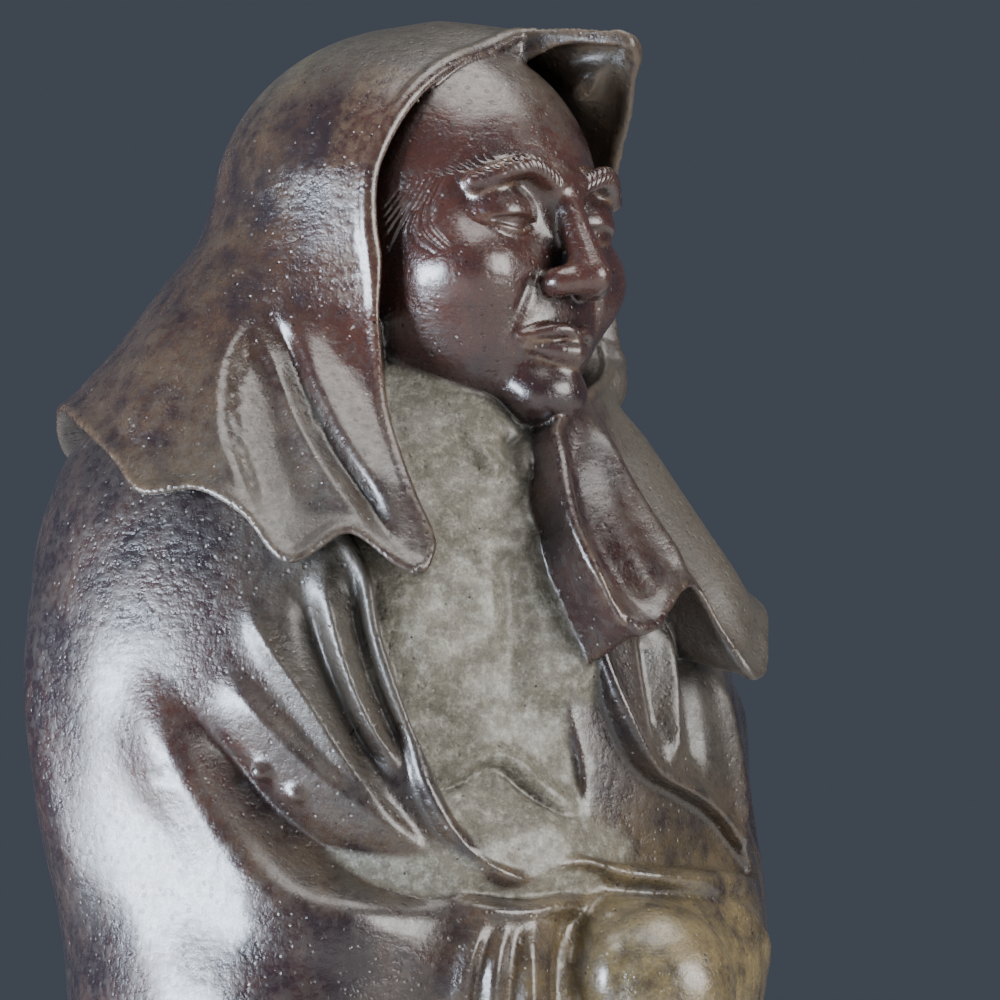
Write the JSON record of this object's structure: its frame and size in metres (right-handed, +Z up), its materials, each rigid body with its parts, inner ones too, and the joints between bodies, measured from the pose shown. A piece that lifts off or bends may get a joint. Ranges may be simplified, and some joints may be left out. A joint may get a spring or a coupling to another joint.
{
  "type": "bodhidharma statue",
  "caption": "Standing hooded monk in glossy dark brown stoneware, hands muffled in a folded robe open over a bare chest, on a low oval base.",
  "frame": {"origin": "centre of the oval base's flat underside", "axes": "+Z up along the figure, -Y the way the body faces, +X towards the figure's left hand"},
  "size_m": [0.1941, 0.1698, 0.47],
  "materials": {
    "stoneware": "glossy dark brown with olive and ochre ash and purple-red flushes, finely pitted"
  },
  "bodies": {
    "root": {"hooded_monk_statue": "stoneware"}
  },
  "joints": []
}
